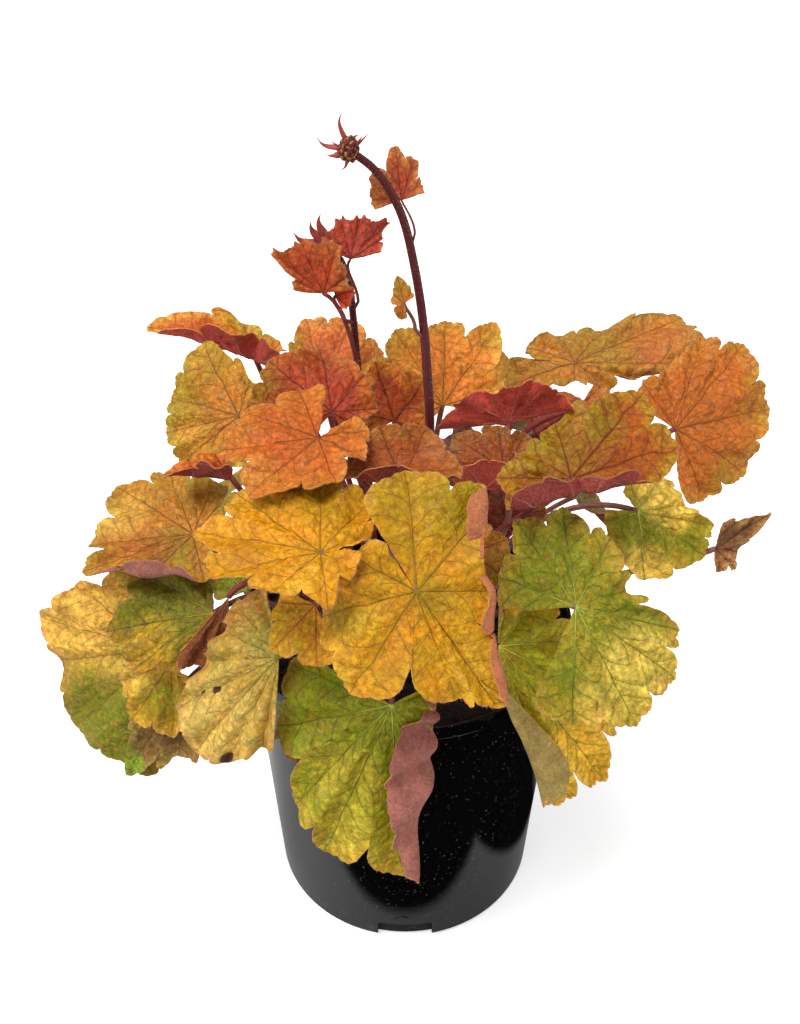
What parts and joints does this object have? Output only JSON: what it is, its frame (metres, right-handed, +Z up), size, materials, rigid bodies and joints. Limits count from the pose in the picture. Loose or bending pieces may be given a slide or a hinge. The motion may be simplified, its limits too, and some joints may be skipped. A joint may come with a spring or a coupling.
{
  "type": "potted heuchera plant",
  "caption": "Heuchera with lobed amber, copper and green leaves and young flower stems, growing in a black nursery pot.",
  "frame": {"origin": "centre of the pot's foot, on the surface it stands on", "axes": "+Z up along the pot's axis; -Y towards the side the plant is looked at from; +X to the right as seen from there"},
  "size_m": [0.3358, 0.2758, 0.403],
  "materials": {
    "leaf_copper": "satin",
    "leaf_salmon": "satin",
    "leaf_crimson": "satin",
    "leaf_amber": "satin",
    "leaf_gold": "satin",
    "leaf_olive": "satin",
    "leaf_green": "satin",
    "leaf_straw": "satin",
    "leaf_brown": "satin",
    "flower_stem": "satin",
    "pot_black": "gloss",
    "potting_soil": "matte",
    "crown": "matte"
  },
  "bodies": {
    "root": {"pot": "pot_black", "soil": "potting_soil", "crown": "crown", "leaf_middle_copper": "leaf_copper", "leaf_front_left_salmon": "leaf_salmon", "leaf_middle_salmon": "leaf_salmon", "leaf_back_left_peach": "leaf_salmon", "leaf_middle_amber": "leaf_amber", "leaf_middle_red": "leaf_crimson", "leaf_right_crimson": "leaf_crimson", "leaf_right_copper": "leaf_copper", "leaf_front_crimson": "leaf_crimson", "leaf_right_shade": "leaf_amber", "leaf_middle_shade": "leaf_brown", "leaf_right_red": "leaf_crimson", "leaf_young_red": "leaf_copper", "leaf_front_gold": "leaf_gold", "leaf_front_left_gold": "leaf_gold", "leaf_left_amber": "leaf_amber", "leaf_left_olive": "leaf_olive", "leaf_back_left_red": "leaf_copper", "leaf_left_red": "leaf_crimson", "leaf_back_right_amber": "leaf_amber", "leaf_right_peach": "leaf_salmon", "leaf_right_green": "leaf_green", "leaf_right_curled": "leaf_green", "leaf_left_low_gold": "leaf_gold", "leaf_left_turned": "leaf_copper", "leaf_inner_shade": "leaf_crimson", "leaf_right_brown": "leaf_brown", "leaf_right_inner_amber": "leaf_amber", "leaf_front_green": "leaf_green", "leaf_front_right_green": "leaf_green", "leaf_front_left_straw": "leaf_straw", "leaf_small_amber": "leaf_amber", "leaf_left_green": "leaf_green", "leaf_left_small_green": "leaf_green", "leaf_left_shade": "leaf_olive", "leaf_far_left_pale": "leaf_straw", "leaf_low_left_brown": "leaf_brown", "leaf_low_left_olive": "leaf_brown", "leaf_back_amber": "leaf_amber", "leaf_back_gold": "leaf_gold", "leaf_back_copper": "leaf_copper", "leaf_back_right_green": "leaf_green", "leaf_low_back_green": "leaf_green", "leaf_low_back_straw": "leaf_straw", "leaf_low_left_green": "leaf_green", "leaf_low_right_green": "leaf_green", "leaf_right_small": "leaf_salmon", "flower_stem_tall": "flower_stem", "flower_stem_short": "flower_stem", "bract_tall_upper": "leaf_copper", "bract_tall_lower": "leaf_amber", "bract_short_upper": "leaf_crimson", "bract_short_lower": "leaf_crimson"}
  },
  "joints": []
}
